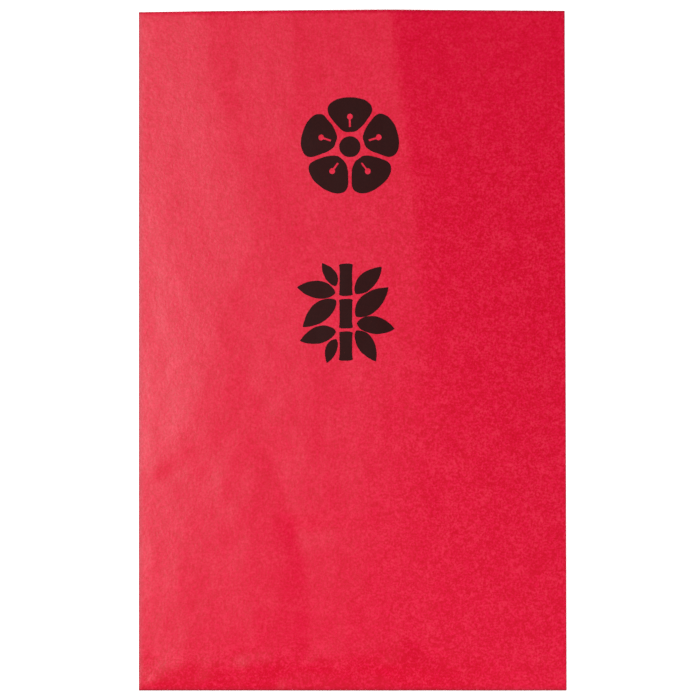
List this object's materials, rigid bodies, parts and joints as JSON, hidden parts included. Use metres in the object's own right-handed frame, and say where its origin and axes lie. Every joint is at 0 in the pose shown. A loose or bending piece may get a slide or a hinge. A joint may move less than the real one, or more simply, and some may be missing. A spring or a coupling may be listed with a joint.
{
  "type": "paper charm envelope",
  "caption": "Small flat red paper envelope with a centre back seam, a pasted bottom flap and a closing flap that folds open on the top edge.",
  "frame": {"origin": "centre of the envelope's outline, on the surface that its back lies on", "axes": "+X to the right of the front, +Y along the height towards the closing flap's fold, +Z out of the front"},
  "size_m": [0.0754, 0.12, 0.0035],
  "materials": {
    "red_paper_front": "dyed-through uncoated paper with a soft machine-glazed sheen",
    "red_paper_back": "the same dyed paper on the back, a little duller",
    "dried_paste": "thin clear dried paste, hidden between the sheets",
    "black_ink": "flat black printing ink on the paper, used by the printed ornaments of the visual model"
  },
  "bodies": {
    "envelope": {"front_panel": "red_paper_front", "left_side_fold": "red_paper_front", "right_side_fold": "red_paper_front", "bottom_fold": "red_paper_front", "top_fold": "red_paper_front", "left_back_panel": "red_paper_back", "right_back_panel": "red_paper_back", "seam_paste": "dried_paste", "bottom_flap": "red_paper_back", "bottom_paste": "dried_paste"},
    "flap": {"closing_flap": "red_paper_back"}
  },
  "joints": [
    {"name": "closing_flap_fold", "type": "hinge", "parent": "envelope", "child": "flap", "pos_m": [0, 0.0597, 0.0003], "axis": [1, 0, 0], "range_deg": [0, 175]}
  ]
}
